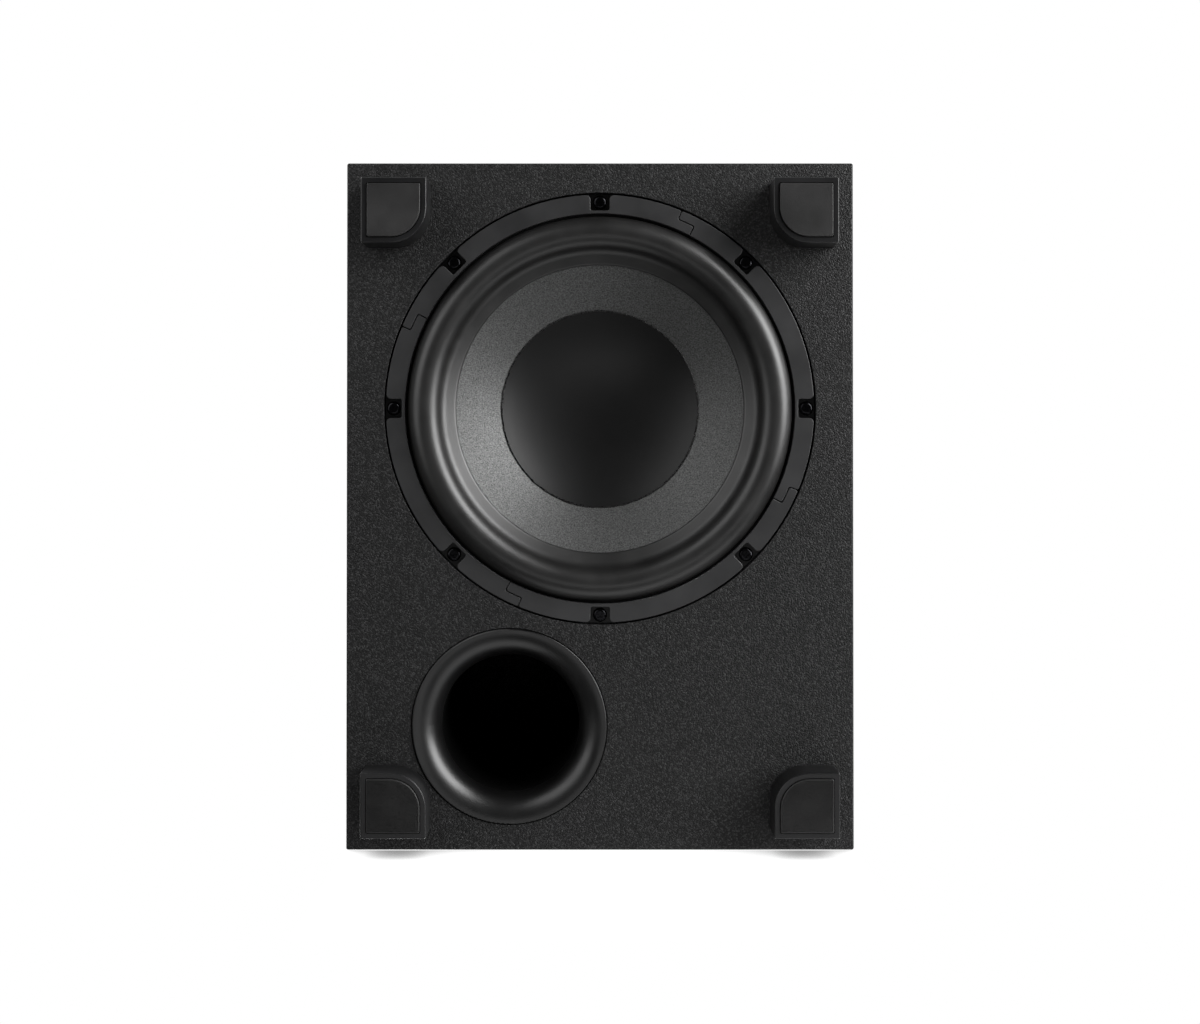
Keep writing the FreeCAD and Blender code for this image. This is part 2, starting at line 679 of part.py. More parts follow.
def make_tinsel_leads():
    """Two braided leads that loop from inside the ledge ring, at the terminals, to the cone's back."""
    leads = []
    for sx in (-1, 1):
        x = DRIVER_X + sx * 22.0
        start_r, end_r = 84.0, 56.0
        back = cone_depth(math.hypot(end_r, 22.0)) + CONE_T / math.cos(CONE_SLOPE) + 0.5
        y0, y1 = DRIVER_Y + end_r, DRIVER_Y + start_r
        z0, z1 = Z_FACE + back, Z_FACE + LEDGE_DEPTH - 12
        leads.append(cable([(x, y0, z0), (x, y0 + 2, z0 + 12), (x, y1 - 4, z1 - 6), (x, y1, z1 - 6)], 0.9))
    nodes["tinsel_leads"] = Part.makeCompound(leads)


# ---------------------------------------------------------------- port
def make_port():
    k = 1 - math.sqrt(0.5)
    face, rim = -MOUTH_PROUD, 0.8
    flat_r = MOUTH_R - rim
    throat = face + MOUTH_FLARE
    back_k = (MOUTH_FLARE - 2.6) * math.sqrt(0.5) - 1
    sleeve_r = PORT_R + PORT_WALL
    mouth = [
        (MOUTH_R, MOUTH_FLANGE),
        (MOUTH_R, face + rim),
        ((MOUTH_R - rim * k, face + rim * k), (flat_r, face)),
        ((PORT_R + MOUTH_FLARE * k, face + MOUTH_FLARE * k), (PORT_R, throat)),
        (PORT_R, throat + 3),
        (sleeve_r + GAP, throat + 3),
        (sleeve_r + GAP, throat + 3 + SOCKET_L),
        (sleeve_r + 3, throat + 3 + SOCKET_L),
        (sleeve_r + 3, throat),
        ((flat_r - back_k, throat - back_k), (flat_r - 6.5, MOUTH_FLANGE)),
    ]
    nodes["port_mouth"] = turned(mouth, PORT_X, PORT_Y)
    start = throat + 3 + GAP
    nodes["port_tube"] = tube(
        sleeve_r, PORT_R, Z_FACE + start, Z_FACE + start + TUBE_L, PORT_X, PORT_Y
    )
    end = start + TUBE_L
    flare = FLARE_IN
    inner = [
        (sleeve_r + GAP, end - SOCKET_L),
        (sleeve_r + 3, end - SOCKET_L),
        (sleeve_r + 3, end + 2),
        ((PORT_R + 3 + flare * k, end + 2 + flare * (1 - k)), (PORT_R + 3 + flare, end + flare)),
        (PORT_R + 3 + flare, end + flare + 2.5),
        (PORT_R + flare, end + flare + 2.5),
        ((PORT_R + flare * k, end + GAP + 2.5 + flare * (1 - k)), (PORT_R, end + GAP)),
        (sleeve_r + GAP, end + GAP),
    ]
    nodes["port_inner_flare"] = turned(inner, PORT_X, PORT_Y)


# ---------------------------------------------------------------- amplifier
def plate_screws_at():
    side, half = AMP_W / 2 - 6, AMP_H / 2 - 6
    corners = [(sx * side, AMP_Z + sz * half) for sx in (-1, 1) for sz in (-1, 0, 1)]
    return corners + [(0.0, AMP_Z + half), (0.0, AMP_Z - half)]


def stud_places():
    return [(-86.0, 208.0), (-86.0, 384.0), (14.0, 208.0), (14.0, 384.0)]


def sink_screws_at():
    x, z = SINK_AT
    return [(x, z - SINK_H / 2 + 12), (x, z + SINK_H / 2 - 12)]


SLIDER_W, SLIDER_H = 4.0, 4.0
BUSH_R, SHAFT_R, NUT_R, NUT_H = 3.5, 3.0, 6.4, 2.2
NECK_OUT_R, SHELL_R = 5.4, 4.15
INLET_W, INLET_H = 48.0, 36.0
RECESS_W, RECESS_H = 25.0, 17.0
DRAWER_W, DRAWER_H = 24.0, 7.0


def make_plate():
    plate = block_back(0, AMP_Z, AMP_W, AMP_H, Y_PLATE_IN, Y_REAR, 6)
    plate = softened(plate, 0.6, at_height(plate, Y_REAR, axis=1))
    studs = [rod_back(3.0, Y_PLATE_IN - BOARD_OFF, Y_PLATE_IN, x, z) for x, z in stud_places()]
    plate = plate.fuse(studs)
    y0, y1 = Y_PLATE_IN - 1, Y_REAR + 1
    cuts = [rod_back(2.2, y0, y1, x, z) for x, z in plate_screws_at()]
    cuts += [rod_back(BUSH_R + GAP, y0, y1, x, z) for x, z in (VOLUME_AT, CROSSOVER_AT)]
    cuts += [rod_back(NECK_OUT_R + GAP, y0, y1, x, z) for x, z in JACKS_AT]
    cuts.append(rod_back(2.6, y0, y1, *LED_AT))
    for (x, z), travel in ((PHASE_AT, PHASE_TRAVEL), (POWER_AT, 2 * POWER_TRAVEL)):
        cuts.append(block_back(x, z, SLIDER_W + travel + 1.2, SLIDER_H + 1.2, y0, y1, 0.6))
    cuts.append(block_back(*INLET_AT, INLET_W - 6, INLET_H - 6, y0, y1, 2))
    cuts += [rod_back(1.7, y0, y1, x, z) for x, z in sink_screws_at()]
    nodes["amp_plate"] = tidy(plate.cut(cuts))
    ring = block_back(0, AMP_Z, AMP_W, AMP_H, Y_PLATE_IN - AMP_GASKET_T, Y_PLATE_IN, 6)
    hole = block_back(0, AMP_Z, AMP_W - 22, AMP_H - 22, Y_PLATE_IN - 3, Y_REAR, 4)
    holes = [rod_back(2.2, Y_PLATE_IN - 3, Y_REAR, x, z) for x, z in plate_screws_at()]
    nodes["amp_gasket"] = tidy(ring.cut([hole] + holes))


def screw_back(x, z, y, head_r, head_h, shank_r, length):
    """A pan screw driven in from the rear, with the seat of its head at y."""
    screw = pan_screw(head_r, head_h, shank_r, length)
    screw.rotate(Vector(0, 0, 0), Vector(1, 0, 0), 90)
    screw.translate(Vector(x, y, z))
    return screw


BOLT_R = 3.0
TOROID_AT, TOROID_R, TOROID_HOLE, TOROID_T = (58.0, 244.0), 36.0, 14.0, 34.0


def make_amp_screws():
    screws = [screw_back(x, z, Y_REAR, 3.6, 2.2, 1.7, 15.0) for x, z in plate_screws_at()]
    screws += [screw_back(x, z, Y_REAR + 3.0, 3.0, 2.0, 1.5, 5.6) for x, z in sink_screws_at()]
    x, z = TOROID_AT
    y = Y_PLATE_IN - 1 - TOROID_T
    bolt = rod_back(BOLT_R, y - 2, Y_PLATE_IN, x, z)
    washer = rod_back(TOROID_HOLE + 8, y - 2, y, x, z)
    head = rod_back(5.5, y - 6, y - 2, x, z)
    screws.append(bolt.fuse([washer, head]).removeSplitter())
    nodes["amp_screws"] = Part.makeCompound(screws)


N_FINS, FIN_T, SINK_BASE, SINK_REACH = 11, 1.6, 3.0, 12.5


def make_heat_sink():
    x, z = SINK_AT
    parts = [block_back(x, z, SINK_W, SINK_H, Y_REAR, Y_REAR + SINK_BASE)]
    pitch = (SINK_W - FIN_T) / (N_FINS - 1)
    for k in range(N_FINS):
        fx = x - SINK_W / 2 + FIN_T / 2 + pitch * k
        fin = block_back(fx, z, FIN_T, SINK_H, Y_REAR + SINK_BASE - 0.5, Y_REAR + SINK_REACH)
        ends = [e for e in at_height(fin, Y_REAR + SINK_REACH, axis=1) if along(e, UP)]
        parts.append(softened(fin, 0.5, ends))
    sink = parts[0].fuse(parts[1:])
    cuts = []
    for sx, sz in sink_screws_at():
        cuts.append(rod_back(1.6, Y_REAR - 1, Y_REAR + 20, sx, sz))
        cuts.append(rod_back(5.4, Y_REAR + SINK_BASE, Y_REAR + 20, sx, sz))
    nodes["heat_sink"] = tidy(sink.cut(cuts))


def make_board():
    y1 = Y_PLATE_IN - BOARD_OFF
    y0 = y1 - BOARD_T
    board = box(-94, 20, y0, y1, 200, 392)
    chips = [
        box(-50, -10, y0 - 12, y0, 300, 330),
        box(-84, -64, y0 - 8, y0, 300, 340),
        box(-40, -24, y0 - 3, y0, 350, 366),
        box(-5, 10, y0 - 16, y0, 220, 290),
    ]
    board = board.fuse(chips)
    holes = [rod_back(1.6, y0 - 1, y1 + 1, x, z) for x, z in stud_places()]
    nodes["amp_board"] = tidy(board.cut(holes))
    cans = []
    for x, z in ((-60.0, 225.0), (-60.0, 262.0), (-28.0, 225.0), (-28.0, 262.0)):
        can = rod_back(14.0, y0 - 38, y0 - GAP, x, z)
        cans.append(softened(can, 1.5, can.Edges))
    nodes["filter_capacitors"] = Part.makeCompound(cans)


def make_transformer():
    x, z = TOROID_AT
    y1 = Y_PLATE_IN - 1
    y0 = y1 - TOROID_T
    soft = 8.0
    k = soft * (1 - math.sqrt(0.5))
    profile = [
        (TOROID_HOLE, y0 + soft),
        ((TOROID_HOLE + k, y0 + k), (TOROID_HOLE + soft, y0)),
        (TOROID_R - soft, y0),
        ((TOROID_R - k, y0 + k), (TOROID_R, y0 + soft)),
        (TOROID_R, y1 - soft),
        ((TOROID_R - k, y1 - k), (TOROID_R - soft, y1)),
        (TOROID_HOLE + soft, y1),
        ((TOROID_HOLE + k, y1 - k), (TOROID_HOLE, y1 - soft)),
    ]
    nodes["transformer"] = turned_back(profile, x, z)


KNOB_R, KNOB_RIBS = 9.0, 24


def make_pot(name, at):
    """A potentiometer behind the plate with its bush and nut, and the knob on its shaft."""
    x, z = at
    body = block_back(x, z, 17, 17, Y_PLATE_IN - 10, Y_PLATE_IN, 1)
    bush = rod_back(BUSH_R, Y_PLATE_IN - 10, Y_REAR + 3, x, z)
    corners = [(NUT_R * math.cos(math.pi / 3 * k), NUT_R * math.sin(math.pi / 3 * k)) for k in range(6)]
    outline = wire(corners, lambda p: Vector(x + p[0], Y_REAR, z + p[1]))
    nut = Part.Face(outline).extrude(Vector(0, NUT_H, 0))
    pot = body.fuse([bush, nut]).cut(rod_back(SHAFT_R + 0.05, Y_PLATE_IN - 11, Y_REAR + 4, x, z))
    nodes[name + "_pot"] = tidy(pot)

    shaft = rod_back(SHAFT_R, Y_PLATE_IN - 9, Y_KNOB_END - 3, x, z)
    y0 = Y_REAR + 3.4
    knob = turned_back(
        [(0, y0), (KNOB_R, y0), (KNOB_R - 0.4, Y_KNOB_END - 1.2), (KNOB_R - 1.5, Y_KNOB_END),
         (KNOB_R - 3.0, Y_KNOB_END - 0.5), (0, Y_KNOB_END - 0.5)],
        x, z,
    )
    cuts = [rod_back(SHAFT_R, y0 - 1, Y_KNOB_END - 3, x, z)]
    for k in range(KNOB_RIBS):
        a = 2 * math.pi * (k + 0.5) / KNOB_RIBS
        x_rib, z_rib = x + (KNOB_R + 0.25) * math.cos(a), z + (KNOB_R + 0.25) * math.sin(a)
        cuts.append(rod_back(0.7, y0 + 1.2, Y_KNOB_END, x_rib, z_rib))
    cuts.append(box(x - 0.6, x + 0.6, Y_KNOB_END - 1.1, Y_KNOB_END + 1, z + 2.2, z + KNOB_R + 1))
    nodes[name + "_knob"] = Part.makeCompound([shaft, knob.cut(cuts)])


def make_slide_switch(name, at, travel, both_ways):
    x, z = at
    span = travel * (2 if both_ways else 1)
    start = x if both_ways else x - travel / 2
    inside_w = SLIDER_W + span + 0.6
    body = block_back(x, z, span + 16, 10, Y_PLATE_IN - 9, Y_PLATE_IN, 0.8)
    hollow = block_back(x, z, inside_w, SLIDER_H + 0.6, Y_PLATE_IN - 6, Y_PLATE_IN + 1)
    nodes[name + "_switch"] = tidy(body.cut(hollow))
    slider = block_back(start, z, SLIDER_W, SLIDER_H, Y_PLATE_IN - 5.8, Y_REAR + 3.2)
    grooves = []
    for dz in (-1.0, 0.0, 1.0):
        grooves.append(box(start - 3, start + 3, Y_REAR + 2.6, Y_REAR + 4, z + dz - 0.3, z + dz + 0.3))
    slider = softened(slider, 0.5, at_height(slider, Y_REAR + 3.2, axis=1))
    nodes[name + "_slider"] = tidy(slider.cut(grooves))


def make_jacks():
    housings, shells = [], []
    x_mid = sum(x for x, _ in JACKS_AT) / len(JACKS_AT)
    z = JACKS_AT[0][1]
    body = block_back(x_mid, z, 42, 16, Y_PLATE_IN - 12, Y_PLATE_IN, 1)
    necks = [rod_back(NECK_OUT_R, Y_PLATE_IN - 1, Y_REAR + 1, x, z) for x, z in JACKS_AT]
    body = body.fuse(necks).removeSplitter()
    for x, z in JACKS_AT:
        body = body.cut(rod_back(SHELL_R - 0.2, Y_REAR - 5, Y_REAR + 2, x, z))
        plug = rod_back(SHELL_R - 1.0, Y_REAR - 5, Y_REAR + 8, x, z)
        housings.append(plug.cut(rod_back(1.65, Y_REAR - 3, Y_REAR + 9, x, z)))
        shell = rod_back(SHELL_R, Y_REAR + 1, Y_REAR + 9, x, z)
        shell = softened(shell, 0.4, at_height(shell, Y_REAR + 9, axis=1))
        shell = shell.fuse(rod_back(SHELL_R - 0.3, Y_REAR - 5 + GAP, Y_REAR + 1, x, z))
        shells.append(tidy(shell.cut(rod_back(SHELL_R - 0.9, Y_REAR - 6, Y_REAR + 10, x, z))))
    nodes["input_jacks"] = tidy(body.fuse(housings))
    nodes["jack_shells"] = Part.makeCompound(shells)


def recess_block(x, z, w, h, y0, y1):
    """The appliance inlet's outline: a rectangle with its two upper corners cut off."""
    cut = 5.0
    shape = [(-w / 2, -h / 2), (w / 2, -h / 2), (w / 2, h / 2 - cut), (w / 2 - cut, h / 2),
             (-w / 2 + cut, h / 2), (-w / 2, h / 2 - cut)]
    flat = wire(shape, lambda p: Vector(x + p[0], y0, z + p[1]))
    return Part.Face(flat).extrude(Vector(0, y1 - y0, 0))


def make_inlet():
    x, z = INLET_AT
    z_recess, z_drawer = z + 5.5, z - 11.5
    bezel = block_back(x, z, INLET_W, INLET_H, Y_REAR, Y_REAR + 2.4, 3)
    bezel = softened(bezel, 0.8, at_height(bezel, Y_REAR + 2.4, axis=1))
    body = block_back(x, z, INLET_W - 6.4, INLET_H - 6.4, Y_PLATE_IN - 19, Y_REAR, 1.8)
    inlet = bezel.fuse(body)
    inlet = inlet.cut([
        recess_block(x, z_recess, RECESS_W, RECESS_H, Y_REAR - 14, Y_REAR + 3),
        block_back(x, z_drawer, DRAWER_W, DRAWER_H, Y_REAR - 20, Y_REAR + 3),
    ])
    blades = []
    for dx, dz in ((-7.0, -2.0), (7.0, -2.0), (0.0, 2.0)):
        inlet = inlet.cut(block_back(x + dx, z_recess + dz, 2.0, 4.0, Y_REAR - 25, Y_REAR))
        blade = block_back(x + dx, z_recess + dz, 2.0, 4.0, Y_REAR - 24, Y_REAR - 2)
        blades.append(softened(blade, 0.5, at_height(blade, Y_REAR - 2, axis=1)))
    nodes["mains_inlet"] = tidy(inlet)
    nodes["inlet_blades"] = Part.makeCompound(blades)
    drawer = block_back(x, z_drawer, DRAWER_W - 2 * GAP, DRAWER_H - 2 * GAP, Y_REAR - 19.5, Y_REAR + 2.8)
    well = box(x - 10, x + 10, Y_REAR - 17, Y_REAR - 1.5, z_drawer - 2.6, z_drawer + 6)
    nail = box(x - 5, x + 5, Y_REAR + 1.9, Y_REAR + 4, z_drawer - DRAWER_H, z_drawer - 1.2)
    drawer = drawer.cut([well, nail])
    nodes["fuse_drawer"] = tidy(drawer)


def make_led():
    """A domed lens with a shoulder behind the plate."""
    x, z = LED_AT
    r, k = 2.5, math.sqrt(0.5)
    y0 = Y_REAR + 0.3
    dome = ((r * k, y0 + r * k), (0, y0 + r))
    nodes["status_led"] = turned_back(
        [(0, Y_PLATE_IN - 5), (3.2, Y_PLATE_IN - 5), (3.2, Y_PLATE_IN), (r, Y_PLATE_IN), (r, y0), dome], x, z
    )


def make_leads():
    """The pair of insulated wires from the amplifier board down to the driver's terminals."""
    wires = []
    y_board = Y_PLATE_IN - BOARD_OFF - BOARD_T
    y_tab = DRIVER_Y + 87.0 + 11.0
    z_tab = Z_FACE + LEDGE_DEPTH - 10 + 5.4
    for sx in (-1, 1):
        x_tab, x_board = sx * 7.0, -74.0 + sx * 3.0
        wires.append(cable([
            (x_board, y_board - GAP, 206.0),
            (x_board, y_board - 16, 206.0),
            (x_board + 6, y_board - 24, 180.0),
            (x_board + 24, y_board - 20, 150.0),
            (x_tab - 26, y_tab + 26, 122.0),
            (x_tab - 6, y_tab + 24, z_tab + 6),
            (x_tab, y_tab + 10, z_tab),
            (x_tab, y_tab + GAP, z_tab),
        ], 1.4))
    nodes["driver_leads"] = Part.makeCompound(wires)


def main():
    make_cabinet()
    make_feet()
    make_basket()
    make_gasket()
    make_trim()
    make_driver_screws()
    make_motor()
    make_terminals()
    make_cone()
    make_dust_cap()
    make_coil()
    make_surround()
    make_spider()
    make_tinsel_leads()
    make_port()
    make_plate()
    make_amp_screws()
    make_heat_sink()
    make_board()
    make_transformer()
    make_pot("volume", VOLUME_AT)
    make_pot("crossover", CROSSOVER_AT)
    make_slide_switch("phase", PHASE_AT, PHASE_TRAVEL, both_ways=False)
    make_slide_switch("power", POWER_AT, POWER_TRAVEL, both_ways=True)
    make_jacks()
    make_inlet()
    make_led()
    make_leads()
    os.makedirs("parts", exist_ok=True)
    for name, shape in sorted(nodes.items()):
        state = "ok" if shape.isValid() else "INVALID"
        print("%-26s %-8s solids %2d  volume %10.1f" % (name, state, len(shape.Solids), shape.Volume))
        shape.exportStep("parts/" + name + ".step")
    print(len(nodes), "nodes")


main()
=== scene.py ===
import json
import math

import bpy
import numpy as np
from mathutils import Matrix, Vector


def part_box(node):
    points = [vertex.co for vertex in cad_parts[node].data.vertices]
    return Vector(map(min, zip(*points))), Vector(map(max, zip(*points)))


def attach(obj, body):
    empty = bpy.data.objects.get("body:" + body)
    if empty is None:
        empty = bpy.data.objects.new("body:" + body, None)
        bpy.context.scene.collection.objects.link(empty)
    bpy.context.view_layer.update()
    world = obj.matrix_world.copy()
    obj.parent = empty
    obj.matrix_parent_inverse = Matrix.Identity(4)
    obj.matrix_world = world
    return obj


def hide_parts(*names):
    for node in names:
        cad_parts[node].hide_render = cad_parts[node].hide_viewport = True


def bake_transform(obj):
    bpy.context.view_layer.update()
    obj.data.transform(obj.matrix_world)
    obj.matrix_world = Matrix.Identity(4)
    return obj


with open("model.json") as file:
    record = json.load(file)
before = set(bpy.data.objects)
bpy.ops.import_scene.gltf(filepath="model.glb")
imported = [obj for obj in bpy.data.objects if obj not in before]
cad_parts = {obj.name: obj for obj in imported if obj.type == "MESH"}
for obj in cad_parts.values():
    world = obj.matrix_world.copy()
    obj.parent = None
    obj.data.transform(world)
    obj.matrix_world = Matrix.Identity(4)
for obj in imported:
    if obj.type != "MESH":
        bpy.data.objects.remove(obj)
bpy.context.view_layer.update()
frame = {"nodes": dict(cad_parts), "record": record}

MM = 0.001
ROOT, CONE_BODY = "cabinet", "cone_assembly"


# ---------------------------------------------------------------- places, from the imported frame
def middle(node):
    low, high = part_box(node)
    return (Vector(low) + Vector(high)) / 2


DRIVER = middle("driver_basket")
Z_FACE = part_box("bottom_baffle")[0][2]
Z_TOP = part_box("top_panel")[1][2]
Y_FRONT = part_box("front_panel")[0][1]
Y_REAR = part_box("rear_panel")[1][1]
X_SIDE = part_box("right_panel")[1][0]
CABINET = Vector((0, (Y_FRONT + Y_REAR) / 2, (Z_FACE + Z_TOP) / 2))


# ---------------------------------------------------------------- node material helpers
class Material:
    """A Principled material with shorthand for adding and joining nodes."""

    def __init__(self, name):
        self.data = bpy.data.materials.new(name)
        self.data.use_nodes = True
        self.tree = self.data.node_tree
        self.shader = self.tree.nodes["Principled BSDF"]
        self.place = self.tree.nodes.new("ShaderNodeTexCoord").outputs["Object"]

    def set(self, **values):
        for name, value in values.items():
            self.put(self.shader.inputs[name.replace("_", " ")], value)
        return self

    def put(self, socket, value):
        if isinstance(value, bpy.types.NodeSocket):
            self.tree.links.new(value, socket)
        elif isinstance(value, tuple) and len(value) == 3 and socket.type == "RGBA":
            socket.default_value = (*value, 1)
        else:
            socket.default_value = value

    def node(self, kind, inputs, output=0, **settings):
        made = self.tree.nodes.new("ShaderNode" + kind)
        for name, value in settings.items():
            setattr(made, name, value)
        for name, value in inputs.items():
            self.put(made.inputs[name], value)
        return made.outputs[output]

    def noise(self, size, detail=2.0, roughness=0.5, place=None):
        """Noise from 0 to 1 whose features are about size metres across."""
        inputs = {"Vector": place or self.place, "Scale": 1 / size, "Detail": detail, "Roughness": roughness}
        return self.node("TexNoise", inputs)

    def cells(self, size, randomness=1.0):
        """Cells about size metres across: the distance to each one's middle, and a random tint for each."""
        made = self.tree.nodes.new("ShaderNodeTexVoronoi")
        self.put(made.inputs["Vector"], self.place)
        self.put(made.inputs["Scale"], 1 / size)
        self.put(made.inputs["Randomness"], randomness)
        split = self.node("SeparateXYZ", {0: made.outputs["Color"]})
        return {"distance": made.outputs["Distance"], "tint": split}

    def spread(self, value, low, high, start=0.0, end=1.0):
        """Maps value from start..end to low..high, and holds it at the ends."""
        return self.node("MapRange", {0: value, 1: start, 2: end, 3: low, 4: high})

    def math(self, operation, a, b=0.0):
        return self.node("Math", {0: a, 1: b}, operation=operation)

    def blend(self, share, a, b):
        made = self.tree.nodes.new("ShaderNodeMix")
        made.data_type = "RGBA"
        self.put(made.inputs["Factor"], share)
        self.put(made.inputs[6], a)
        self.put(made.inputs[7], b)
        return made.outputs[2]

    def bump(self, height, distance, strength=1.0):
        return self.node("Bump", {"Height": height, "Distance": distance, "Strength": strength})


def cabinet_finish():
    """Black pebble-textured wrap: small raised grains of uneven height, tone and gloss; the brightest grains
    are partly painted glints.
    """
    m = Material("black_pebble_wrap")
    pebble = m.cells(0.95 * MM)
    mottle = m.noise(1.3 * MM, 3, 0.7)
    drift = m.noise(90 * MM, 2)
    # Each grain gets a random tone; the bright flecks among them are also painted highlights standing in for
    # glints.
    fleck_and_painted_glint = m.math("POWER", pebble["tint"], 3.0)
    fleck_and_painted_glint = m.math("MULTIPLY", fleck_and_painted_glint, m.spread(mottle, 0.4, 1.6, 0.35, 0.65))
    tone = m.blend(fleck_and_painted_glint, (0.0015, 0.0015, 0.0016), (0.038, 0.038, 0.0385))
    rough = m.math("ADD", m.spread(drift, 0.46, 0.54, 0.3, 0.7), m.spread(pebble["tint"], 0.07, -0.1))
    height = m.math("ADD", m.math("MULTIPLY", pebble["distance"], -0.7), mottle)
    m.set(Base_Color=tone, Roughness=rough, Specular_IOR_Level=0.36)
    return m.set(Normal=m.bump(height, 0.5 * MM, 0.8)).data


def moulded(name, tone, rough, grain=0.45 * MM, height=0.03 * MM, gloss=0.5):
    """Moulded plastic or rubber: a fine die texture whose tone and gloss change slowly across it."""
    m = Material(name)
    fine = m.noise(grain, 2)
    slow = m.noise(35 * MM, 3)
    low, high = (tuple(c * k for c in tone) for k in (0.75, 1.25))
    color = m.blend(m.spread(slow, 0, 1, 0.3, 0.7), low, high)
    slow_rough = m.spread(slow, rough - 0.04, rough + 0.04, 0.3, 0.7)
    roughness = m.math("ADD", slow_rough, m.spread(fine, -0.03, 0.03))
    m.set(Base_Color=color, Roughness=roughness, Specular_IOR_Level=gloss)
    return m.set(Normal=m.bump(fine, height, 0.6)).data


def metal(name, tone, rough, brushed=None):
    """Bare or plated metal. A brushed one is drawn out along one axis."""
    m = Material(name)
    place = m.place
    if brushed:
        place = m.node("Mapping", {"Vector": m.place, "Scale": brushed})
    lines = m.noise(0.8 * MM, 3, 0.6, place)
    low, high = (tuple(c * k for c in tone) for k in (0.85, 1.1))
    m.set(Base_Color=m.blend(lines, low, high), Roughness=m.spread(lines, rough - 0.06, rough + 0.08))
    return m.set(Metallic=1.0, Normal=m.bump(lines, 0.02 * MM, 0.4)).data


def cone_finish():
    """Silver-grey flake lacquer over pressed fibre: a fine light and dark speckle."""
    m = Material("cone_flake")
    flake = m.noise(0.95 * MM, 2, 0.6)
    fibre = m.noise(2.4 * MM, 3)
    slow = m.noise(60 * MM, 2)
    tone = m.blend(m.spread(flake, 0, 1, 0.3, 0.72), (0.028, 0.0282, 0.028), (0.145, 0.147, 0.146))
    tone = m.blend(m.spread(slow, 0, 0.25, 0.3, 0.7), tone, (0.055, 0.056, 0.055))
    rough = m.spread(flake, 0.5, 0.4)
    height = m.math("ADD", flake, m.math("MULTIPLY", fibre, 0.5))
    return m.set(Base_Color=tone, Metallic=0.5, Roughness=rough, Normal=m.bump(height, 0.25 * MM, 0.5)).data


def cap_finish():
    """Smooth black coating with a soft sheen and a faint grain."""
    m = Material("cap_coating")
    grain = m.noise(0.9 * MM, 2)
    slow = m.noise(30 * MM, 2)
    tone = m.blend(m.spread(slow, 0, 1, 0.3, 0.7), (0.0015, 0.0015, 0.0016), (0.003, 0.003, 0.0031))
    rough = m.spread(grain, 0.34, 0.41)
    m.set(Base_Color=tone, Roughness=rough, Specular_IOR_Level=0.4)
    return m.set(Normal=m.bump(grain, 0.06 * MM, 0.5)).data


def surround_finish():
    """Smooth moulded rubber with an uneven satin bloom."""
    m = Material("surround_rubber")
    fine = m.noise(0.7 * MM, 2)
    bloom = m.noise(18 * MM, 3)
    tone = m.blend(m.spread(bloom, 0, 1, 0.35, 0.7), (0.0062, 0.0061, 0.006), (0.0095, 0.0093, 0.0091))
    rough = m.math("ADD", m.spread(bloom, 0.37, 0.43, 0.3, 0.7), m.spread(fine, -0.02, 0.02))
    m.set(Base_Color=tone, Roughness=rough, Specular_IOR_Level=0.75)
    return m.set(Normal=m.bump(fine, 0.02 * MM, 0.5)).data


def glue_finish():
    m = Material("glue_line")
    lumps = m.noise(2.5 * MM, 3)
    tone = m.blend(lumps, (0.004, 0.004, 0.004), (0.02, 0.02, 0.02))
    return m.set(Base_Color=tone, Roughness=m.spread(lumps, 0.15, 0.4), Normal=m.bump(lumps, 0.3 * MM)).data


def woven(name, tone, thread):
    """A plain weave of two crossing thread directions."""
    m = Material(name)
    split = m.tree.nodes.new("ShaderNodeSeparateXYZ")
    m.put(split.inputs[0], m.place)
    waves = [m.math("SINE", m.math("MULTIPLY", split.outputs[k], math.pi / thread)) for k in (0, 1)]
    weave = m.math("MULTIPLY", *waves)
    fuzz = m.noise(thread * 0.6, 3)
    dark = tuple(c * 0.45 for c in tone)
    tone = m.blend(m.spread(m.math("ADD", weave, fuzz), 0, 1, -0.6, 1.4), dark, tone)
    return m.set(Base_Color=tone, Roughness=0.85, Normal=m.bump(weave, thread * 0.3)).data


def board_finish():
    """Raw fibreboard: fine pressed fibres."""
    m = Material("raw_fibreboard")
    fibre = m.noise(1.2 * MM, 5, 0.7)
    tone = m.blend(fibre, (0.3, 0.2, 0.12), (0.56, 0.42, 0.27))
    return m.set(Base_Color=tone, Roughness=0.8, Normal=m.bump(fibre, 0.15 * MM)).data


def wadding_finish():
    m = Material("wadding")
    fluff = m.noise(6 * MM, 6, 0.75)
    tone = m.blend(fluff, (0.45, 0.45, 0.43), (0.85, 0.85, 0.83))
    return m.set(Base_Color=tone, Roughness=0.95, Normal=m.bump(fluff, 4 * MM)).data


def circuit_finish():
    """Green solder mask with faint copper tracks under it."""
    m = Material("solder_mask")
    tracks = m.spread(m.cells(7 * MM, 0.35)["distance"], 0, 1, 0.28, 0.33)
    tone = m.blend(tracks, (0.01, 0.09, 0.03), (0.03, 0.2, 0.07))
    return m.set(Base_Color=tone, Roughness=0.3, Normal=m.bump(tracks, 0.05 * MM)).data


def lens_finish():
    m = Material("led_lens")
    haze = m.noise(1 * MM, 2)
    tone = m.blend(haze, (0.03, 0.25, 0.08), (0.08, 0.5, 0.16))
    m.set(Base_Color=tone, Roughness=m.spread(haze, 0.08, 0.2), Emission_Color=(0.1, 0.9, 0.3))
    return m.set(Emission_Strength=0.35).data


def print_finish():
    """Pale grey screen print, slightly worn."""
    m = Material("screen_print")
    wear = m.noise(1.5 * MM, 3)
    tone = m.blend(m.spread(wear, 0, 1, 0.3, 0.6), (0.32, 0.32, 0.32), (0.55, 0.55, 0.55))
    return m.set(Base_Color=tone, Roughness=m.spread(wear, 0.5, 0.65)).data


